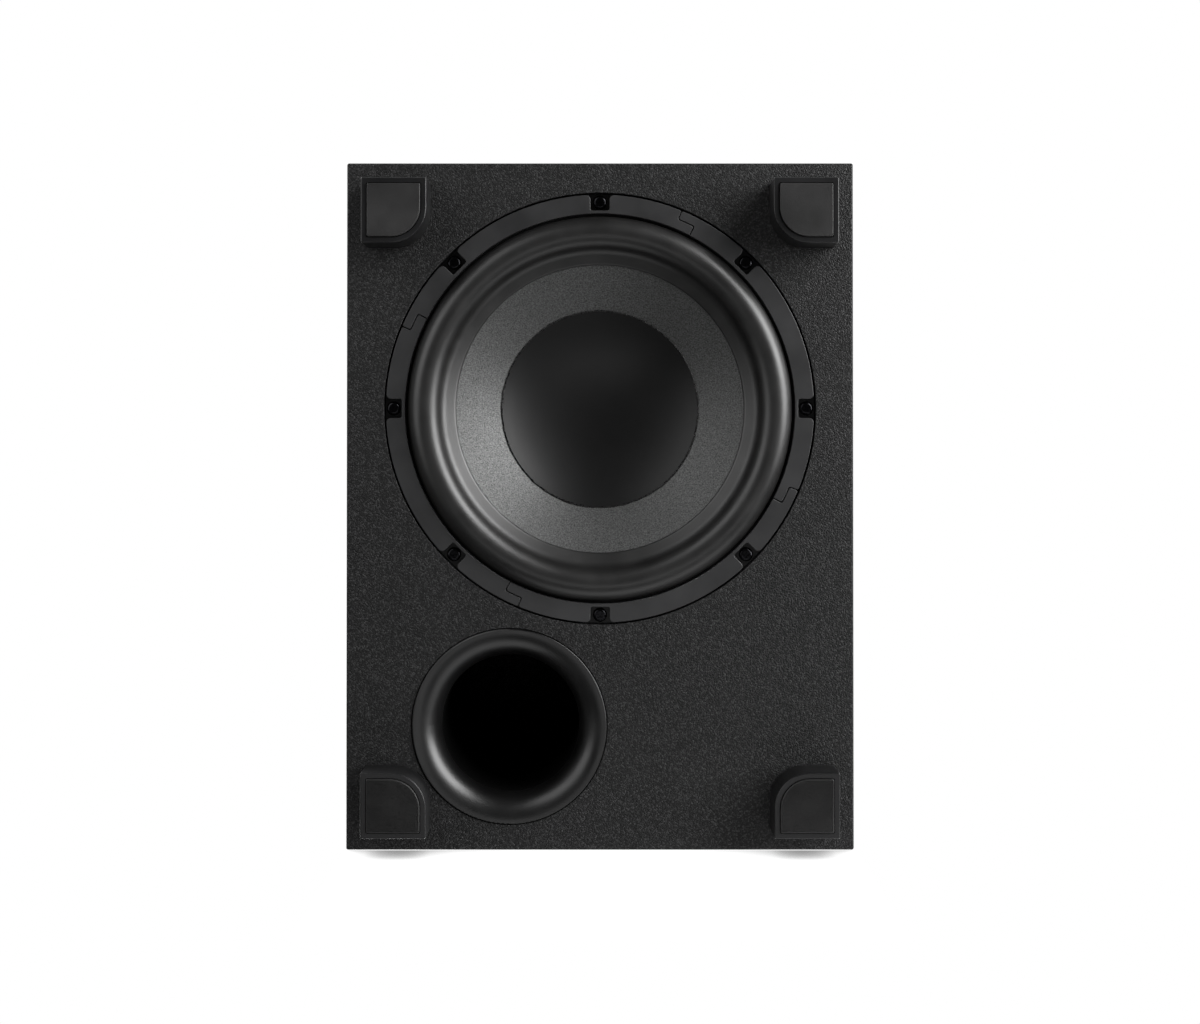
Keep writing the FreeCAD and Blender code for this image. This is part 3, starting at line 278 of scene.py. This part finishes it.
FINISH = {
    "cabinet_finish": cabinet_finish(),
    "bare_board": board_finish(),
    "wadding": wadding_finish(),
    "foot_plastic": moulded("foot_plastic", (0.007, 0.007, 0.0075), 0.36),
    "pad_rubber": moulded("pad_rubber", (0.026, 0.0257, 0.0257), 0.42, 0.8 * MM, 0.06 * MM, gloss=0.4),
    "trim_plastic": moulded("trim_plastic", (0.024, 0.024, 0.0248), 0.45),
    "surround_rubber": surround_finish(),
    "cone_pulp": cone_finish(),
    "cap_coating": cap_finish(),
    "basket_paint": moulded("basket_paint", (0.0015, 0.0015, 0.0015), 0.35, 0.8 * MM, 0.05 * MM, gloss=0.35),
    "black_screws": metal("black_screws", (0.02, 0.02, 0.022), 0.22),
    "gasket_foam": moulded("gasket_foam", (0.03, 0.03, 0.03), 0.85, 1.5 * MM, 0.4 * MM),
    "former_foil": metal("former_foil", (0.8, 0.8, 0.8), 0.3, (1, 1, 0.1)),
    "winding": metal("winding", (0.7, 0.3, 0.16), 0.35, (0.1, 0.1, 1)),
    "spider_cloth": woven("spider_cloth", (0.6, 0.42, 0.18), 0.5 * MM),
    "ferrite": moulded("ferrite", (0.05, 0.05, 0.055), 0.6, 1.2 * MM, 0.1 * MM),
    "plated_steel": metal("plated_steel", (0.62, 0.58, 0.48), 0.34, (1, 1, 0.15)),
    "terminal_brass": metal("terminal_brass", (0.8, 0.62, 0.3), 0.28),
    "braid": metal("braid", (0.7, 0.6, 0.48), 0.4, (1, 0.3, 1)),
    "lead_insulation": moulded("lead_insulation", (0.35, 0.02, 0.015), 0.4),
    "port_plastic": moulded("port_plastic", (0.003, 0.003, 0.0031), 0.35, 0.5 * MM, 0.02 * MM, gloss=0.68),
    "plate_paint": moulded("plate_paint", (0.02, 0.02, 0.021), 0.5, 0.9 * MM, 0.08 * MM),
    "sink_anodised": metal("sink_anodised", (0.035, 0.035, 0.038), 0.4, (1, 1, 0.06)),
    "circuit_board": circuit_finish(),
    "capacitor_sleeve": moulded("capacitor_sleeve", (0.012, 0.02, 0.06), 0.25),
    "toroid_wrap": moulded("toroid_wrap", (0.6, 0.36, 0.08), 0.35, 4 * MM, 0.4 * MM),
    "knob_plastic": moulded("knob_plastic", (0.018, 0.018, 0.019), 0.45, 0.5 * MM, 0.04 * MM),
    "control_plastic": moulded("control_plastic", (0.02, 0.02, 0.02), 0.4),
    "jack_plastic": moulded("jack_plastic", (0.03, 0.03, 0.033), 0.3),
    "jack_plating": metal("jack_plating", (0.9, 0.7, 0.32), 0.2),
    "inlet_plastic": moulded("inlet_plastic", (0.016, 0.016, 0.016), 0.38),
    "blade_metal": metal("blade_metal", (0.8, 0.78, 0.7), 0.25),
    "led_lens": lens_finish(),
}
# The port's tube is black plastic, but gets a darker, duller black of its own: painted shade for the dark
# inside of the bore
TUBE_PAINTED_SHADE = moulded("tube_painted_shade", (0.0008, 0.0008, 0.0008), 0.95, gloss=0.05)
GLUE = glue_finish()
PRINT = print_finish()

for entry in frame["record"]["subparts"]:
    mesh = frame["nodes"][entry["node"]].data
    mesh.materials.clear()
    mesh.materials.append(FINISH[entry["material_slot"]])
# Painted shade: the tube gets the darker, duller black instead of the port's plastic
frame["nodes"]["port_tube"].data.materials[0] = TUBE_PAINTED_SHADE


# ---------------------------------------------------------------- mesh helpers
def new_piece(name, vertices, faces, material, slot_name, body):
    mesh = bpy.data.meshes.new(name)
    mesh.from_pydata(vertices, [], faces)
    mesh.validate()
    mesh.materials.append(material)
    mesh.shade_smooth()
    piece = bpy.data.objects.new(name, mesh)
    bpy.context.collection.objects.link(piece)
    if body:
        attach(piece, body)
    return piece


def sweep(profile, x, y, steps=256):
    """Vertices and faces of a closed (radius, z) profile turned about the vertical axis at x, y."""
    vertices, faces = [], []
    n = len(profile)
    for k in range(steps):
        a = 2 * math.pi * k / steps
        vertices += [(x + r * math.cos(a), y + r * math.sin(a), z) for r, z in profile]
    for k in range(steps):
        here, there = k * n, (k + 1) % steps * n
        for i in range(n):
            j = (i + 1) % n
            faces.append((here + i, here + j, there + j, there + i))
    return vertices, faces


def arc(r0, z0, radius, start, end, count):
    """Points of a circle about (r0, z0) from start to end degrees, both ends included."""
    turns = [math.radians(start + (end - start) * k / (count - 1)) for k in range(count)]
    return [(r0 + radius * math.cos(t), z0 + radius * math.sin(t)) for t in turns]


def straight(a, b, count):
    """Points from a to b, without b."""
    return [tuple(a[i] + (b[i] - a[i]) * k / count for i in (0, 1)) for k in range(count)]


# ---------------------------------------------------------------- soft parts that stand in for CAD nodes
def flex(piece, node):
    """Stands in for a CAD node: hides the node and bakes the piece's placement into its mesh."""
    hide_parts(node)
    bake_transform(piece)


# Sizes of the half roll's section and of the cone's edge that it is glued to
RUBBER_T = 1.2 * MM
ROLL_R, ROLL_CENTRE_R = 12.0 * MM, 126.4 * MM
ROLL_LEAN = 65.0  # degrees of the slope where the roll meets the valley
LAND_R, VALLEY_START_R = 104.0 * MM, 110.5 * MM
FLANGE_FACE = Z_FACE + 5.0 * MM
LIP_R = 139.7 * MM
CONE_R = 112.0 * MM
CONE_SLOPE = 27.0
CONE_EDGE_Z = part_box("cone")[0][2]


def cone_z(r):
    return CONE_EDGE_Z + (CONE_R - r) * math.tan(math.radians(CONE_SLOPE))


def surround_profile():
    """Land on the cone, valley, half roll and lip, then back along the hidden side."""
    lean, slope = math.radians(ROLL_LEAN), math.radians(CONE_SLOPE)
    start_r, start_z = VALLEY_START_R, cone_z(VALLEY_START_R) - RUBBER_T
    valley_end_r = ROLL_CENTRE_R - ROLL_R * math.sin(lean)
    valley = (valley_end_r - start_r) / (math.sin(lean) - math.sin(slope))
    valley_r, valley_z = start_r - valley * math.sin(slope), start_z - valley * math.cos(slope)
    roll_z = valley_z + (valley + ROLL_R) * math.cos(lean)
    flank = math.degrees(math.acos((roll_z - FLANGE_FACE + RUBBER_T) / ROLL_R))
    low_turn, high_turn = 90 - ROLL_LEAN, 90 - CONE_SLOPE
    edge = 0.5 * MM
    land_z = cone_z(LAND_R)
    face = [(LAND_R, land_z - edge), (LAND_R + edge / 2, land_z - RUBBER_T)]
    face += straight((LAND_R + edge, cone_z(LAND_R + edge) - RUBBER_T), (start_r, start_z), 5)
    face += arc(valley_r, valley_z, valley, high_turn, low_turn, 14)
    face += arc(ROLL_CENTRE_R, roll_z, ROLL_R, 270 - ROLL_LEAN, 270 + flank, 56)[1:]
    lip = [
        (LIP_R, FLANGE_FACE - RUBBER_T),
        (LIP_R, FLANGE_FACE),
        (ROLL_CENTRE_R + ROLL_R - RUBBER_T, FLANGE_FACE),
    ]
    back = arc(ROLL_CENTRE_R, roll_z, ROLL_R - RUBBER_T, 360, 270 - ROLL_LEAN, 30)
    back += arc(valley_r, valley_z, valley + RUBBER_T, low_turn, high_turn, 8)[1:]
    return face + lip + back + [(LAND_R, land_z)]


def make_surround():
    parts = sweep(surround_profile(), DRIVER.x, DRIVER.y, 288)
    piece = new_piece("surround_roll", *parts, FINISH["surround_rubber"], "surround_rubber", None)
    flex(piece, "surround")


def make_flexing_copy(node, name):
    """A copy of the CAD shape of a soft part, standing in for its node."""
    mesh = frame["nodes"][node].data.copy()
    mesh.name = name
    piece = bpy.data.objects.new(name, mesh)
    bpy.context.collection.objects.link(piece)
    flex(piece, node)


make_surround()
make_flexing_copy("spider", "spider_corrugated")
make_flexing_copy("tinsel_leads", "tinsel_braids")


# ---------------------------------------------------------------- the glue line round the dust cap
def make_glue_line():
    """A bead of glue laid by hand: its width and place wander a little."""
    ring_r, steps, sides = 71.75 * MM, 720, 10
    vertices, faces = [], []
    for k in range(steps):
        a = 2 * math.pi * k / steps
        wander = 0.16 * math.sin(5 * a + 1) + 0.12 * math.sin(13 * a) + 0.1 * math.sin(31 * a + 2)
        ripple = 0.2 * math.sin(47 * a) * math.sin(3 * a + 1) + 0.14 * math.sin(83 * a + 0.5)
        bead = (0.62 + 0.28 * wander + ripple * 0.5) * MM
        r_mid = ring_r + wander * 0.5 * MM
        z_mid = cone_z(r_mid) - 0.35 * MM
        for i in range(sides):
            t = 2 * math.pi * i / sides
            r, z = r_mid + bead * math.cos(t), z_mid + bead * math.sin(t)
            vertices.append((DRIVER.x + r * math.cos(a), DRIVER.y + r * math.sin(a), z))
    for k in range(steps):
        here, there = k * sides, (k + 1) % steps * sides
        for i in range(sides):
            j = (i + 1) % sides
            faces.append((here + i, here + j, there + j, there + i))
    new_piece("cap_glue_line", vertices, faces, GLUE, "cap_coating", CONE_BODY)


make_glue_line()


# ---------------------------------------------------------------- marks printed on the amplifier plate
PRINT_LIFT, PRINT_T = 0.01 * MM, 0.04 * MM


def printed_marks(name, outlines):
    """Thin closed marks on the plate: an outline is its (x, z) corners, in order."""
    vertices, faces = [], []
    for outline in outlines:
        first, n = len(vertices), len(outline)
        for y in (Y_REAR + PRINT_LIFT, Y_REAR + PRINT_LIFT + PRINT_T):
            vertices += [(x, y, z) for x, z in outline]
        faces.append(tuple(first + k for k in range(n)))
        faces.append(tuple(first + n + k for k in reversed(range(n))))
        for k in range(n):
            j = (k + 1) % n
            faces.append((first + j, first + k, first + n + k, first + n + j))
    piece = new_piece(name, vertices, faces, PRINT, "control_plastic", ROOT)
    piece.data.shade_flat()


def bar(x, z, angle, r0, r1, width):
    """A bar from r0 to r1 along an angle in degrees clockwise from up, seen from behind."""
    a = math.radians(angle)
    out, side = Vector((-math.sin(a), math.cos(a))), Vector((math.cos(a), math.sin(a)))
    ends = ((r0, -1), (r1, -1), (r1, 1), (r0, 1))
    return [tuple(Vector((x, z)) + out * r + side * s * width / 2) for r, s in ends]


def dial_marks(node):
    """Eleven ticks round a knob, longer at both ends and in the middle."""
    at = middle(node)
    marks = []
    for k in range(11):
        reach = 13.4 if k in (0, 5, 10) else 12.6
        marks.append(bar(at.x, at.z, -150 + 30 * k, 11 * MM, reach * MM, 0.5 * MM))
    return marks


def switch_marks(node):
    """A short bar under each end of a slide switch, and a line that joins them."""
    low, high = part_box(node)
    z = low[2] - 1.5 * MM
    inset = 5 * MM
    x0, x1 = low[0] + inset, high[0] - inset
    joined = [(x0, z), (x1, z), (x1, z - 0.4 * MM), (x0, z - 0.4 * MM)]
    return [bar(x, z, 180, 0, 1.6 * MM, 0.5 * MM) for x in (x0, x1)] + [joined]


def frame_marks(node, margin):
    """A thin line round a group of sockets."""
    low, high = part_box(node)
    x0, x1, z0, z1 = low[0] - margin, high[0] + margin, low[2] - margin, high[2] + margin
    w = 0.4 * MM
    return [
        [(x0, z0), (x1, z0), (x1, z0 + w), (x0, z0 + w)],
        [(x0, z1 - w), (x1, z1 - w), (x1, z1), (x0, z1)],
        [(x0, z0 + w), (x0 + w, z0 + w), (x0 + w, z1 - w), (x0, z1 - w)],
        [(x1 - w, z0 + w), (x1, z0 + w), (x1, z1 - w), (x1 - w, z1 - w)],
    ]


printed_marks("volume_dial_marks", dial_marks("volume_knob"))
printed_marks("crossover_dial_marks", dial_marks("crossover_knob"))
printed_marks("switch_marks", switch_marks("phase_switch") + switch_marks("power_switch"))
printed_marks("socket_frame_marks", frame_marks("jack_shells", 5 * MM))


# ---------------------------------------------------------------- camera
LENS, SENSOR = 53.6, 36.0  # millimetres
CAMERA_BACK, CAMERA_SIDE = 1.2827, 0.0545  # from the underside's middle
CAMERA_TILT = math.radians(0.6)
FRAMING_SHIFT = -0.06833  # a share of the picture's width
camera_data = bpy.data.cameras.new("camera")
camera_data.lens = LENS
camera_data.sensor_width = SENSOR
camera_data.shift_y = FRAMING_SHIFT
camera_data.clip_end = 50
camera = bpy.data.objects.new("camera", camera_data)
bpy.context.collection.objects.link(camera)
camera.location = (
    0,
    CABINET.y + CAMERA_SIDE * math.cos(CAMERA_TILT) - CAMERA_BACK * math.sin(CAMERA_TILT),
    Z_FACE - CAMERA_BACK * math.cos(CAMERA_TILT) - CAMERA_SIDE * math.sin(CAMERA_TILT),
)
camera.rotation_euler = (CAMERA_TILT, math.pi, 0)
bpy.context.scene.camera = camera


# ---------------------------------------------------------------- light
def area_light(name, towards, distance, size, power, aim=(0, DRIVER.y, Z_FACE)):
    """A soft rectangular light at a distance from aim, in the direction towards. The power is in watts."""
    data = bpy.data.lights.new(name, "AREA")
    data.shape = "RECTANGLE"
    data.size, data.size_y = size
    data.energy = power
    light = bpy.data.objects.new(name, data)
    direction = Vector(towards).normalized()
    light.visible_camera = False
    light.location = Vector(aim) + direction * distance
    light.rotation_euler = direction.to_track_quat("Z", "Y").to_euler()
    bpy.context.collection.objects.link(light)


def from_below(image_angle, off_axis):
    """A direction under the object, off_axis from straight down.

    image_angle is counterclockwise from the right of a picture of the underside.
    """
    a, b = math.radians(image_angle), math.radians(off_axis)
    return (-math.cos(a) * math.sin(b), math.sin(a) * math.sin(b), -math.cos(b))


area_light("key_below", from_below(24, 65), 2.0, (2.0, 1.2), 74)
area_light("second_below", from_below(152, 58), 1.5, (1.8, 0.9), 9.5)
area_light("fill_below", from_below(276, 20), 1.3, (0.9, 0.3), 1.0)
area_light("paper_glow", from_below(290, 60), 0.42, (0.9, 0.3), 0.85, aim=(0, Y_FRONT + 0.06, Z_FACE))
area_light("overhead", (0.3, -0.5, 1.4), 2.2, (1.6, 1.6), 45, aim=CABINET)
area_light("front_soft", (-0.8, -1, 0.45), 2.4, (1.2, 1.6), 40, aim=CABINET)
area_light("rear_soft", (0.9, 1, 0.5), 2.4, (1.2, 1.6), 40, aim=CABINET)


BELOW_GLOW, ABOVE_GLOW = 0.05, 0.5
HORIZON_BLEND = 0.35  # how high above the horizon the upper glow is reached


def make_world():
    """White to the camera. It lights the object softly, brighter above the horizon than below."""
    world = bpy.data.worlds.new("studio")
    world.use_nodes = True
    bpy.context.scene.world = world
    tree = world.node_tree
    lit = tree.nodes["Background"]
    seen = tree.nodes.new("ShaderNodeBackground")
    mix = tree.nodes.new("ShaderNodeMixShader")
    path = tree.nodes.new("ShaderNodeLightPath")
    place = tree.nodes.new("ShaderNodeTexCoord")
    split = tree.nodes.new("ShaderNodeSeparateXYZ")
    level = tree.nodes.new("ShaderNodeMapRange")
    tree.links.new(place.outputs["Generated"], split.inputs[0])
    tree.links.new(split.outputs["Z"], level.inputs["Value"])
    level.inputs["From Max"].default_value = HORIZON_BLEND
    level.inputs["To Min"].default_value = BELOW_GLOW
    level.inputs["To Max"].default_value = ABOVE_GLOW
    tree.links.new(level.outputs["Result"], lit.inputs["Strength"])
    tree.links.new(path.outputs["Is Camera Ray"], mix.inputs[0])
    tree.links.new(lit.outputs[0], mix.inputs[1])
    tree.links.new(seen.outputs[0], mix.inputs[2])
    tree.links.new(mix.outputs[0], tree.nodes["World Output"].inputs[0])
    lit.inputs["Color"].default_value = (1, 1, 1, 1)
    seen.inputs["Color"].default_value = (1, 1, 1, 1)


make_world()
bpy.context.scene.view_settings.view_transform = "Standard"


# ---------------------------------------------------------------- stage
def stage_plane(name, corners, material):
    """A flat backdrop that shows only from its front, and only to the camera."""
    piece = new_piece(name, corners, [(0, 1, 2, 3)], material, None, None)
    for ray in ("diffuse", "glossy", "transmission", "shadow", "volume_scatter"):
        setattr(piece, "visible_" + ray, False)


def one_sided(material):
    """Makes a material's back faces clear."""
    tree = material.data.node_tree
    surface = tree.nodes["Material Output"].inputs["Surface"]
    front = surface.links[0].from_socket
    mix = tree.nodes.new("ShaderNodeMixShader")
    side = tree.nodes.new("ShaderNodeNewGeometry").outputs["Backfacing"]
    clear = tree.nodes.new("ShaderNodeBsdfTransparent").outputs[0]
    for value, socket in ((side, mix.inputs[0]), (front, mix.inputs[1]), (clear, mix.inputs[2])):
        tree.links.new(value, socket)
    tree.links.new(mix.outputs[0], surface)
    return material.data


def floor_finish():
    """Pale matt floor that gives off light of its own, so that it stays pale far from the lamps."""
    m = Material("pale_floor")
    m.set(Base_Color=(0.3, 0.3, 0.3), Roughness=0.9, Specular_IOR_Level=0.1)
    return one_sided(m.set(Emission_Color=(1, 1, 1), Emission_Strength=0.62))


def paper_painted_shadow_finish():
    """White paper that glows past white; the glow drops where ambient occlusion finds something close, which
    paints a contact shadow on it.
    """
    m = Material("white_paper_painted_shadow")
    reach = m.node("AmbientOcclusion", {"Distance": 60 * MM}, output="AO", samples=16)
    # Painted shadow: the glow is lowered by ambient occlusion near the object and its feet.
    glow = m.spread(reach, 0.3, 1.05, 0.12, 0.5)
    m.set(Base_Color=(0, 0, 0), Specular_IOR_Level=0.0, Emission_Color=(1, 1, 1), Emission_Strength=glow)
    return one_sided(m)


FLOOR_REACH = 25.0
floor_corners = [(sx * FLOOR_REACH, sy * FLOOR_REACH, 0) for sx, sy in ((-1, -1), (1, -1), (1, 1), (-1, 1))]
stage_plane("floor", floor_corners, floor_finish())

PAPER_SIDE, PAPER_DROP = X_SIDE + 0.5 * MM, 0.2
PAPER_Y = Y_FRONT - 0.2 * MM  # just clear of the front panel
paper_ends = ((-1, -PAPER_DROP), (-1, Z_FACE), (1, Z_FACE), (1, -PAPER_DROP))
paper_corners = [(side * PAPER_SIDE, PAPER_Y, z) for side, z in paper_ends]
stage_plane("photo_paper", paper_corners, paper_painted_shadow_finish())
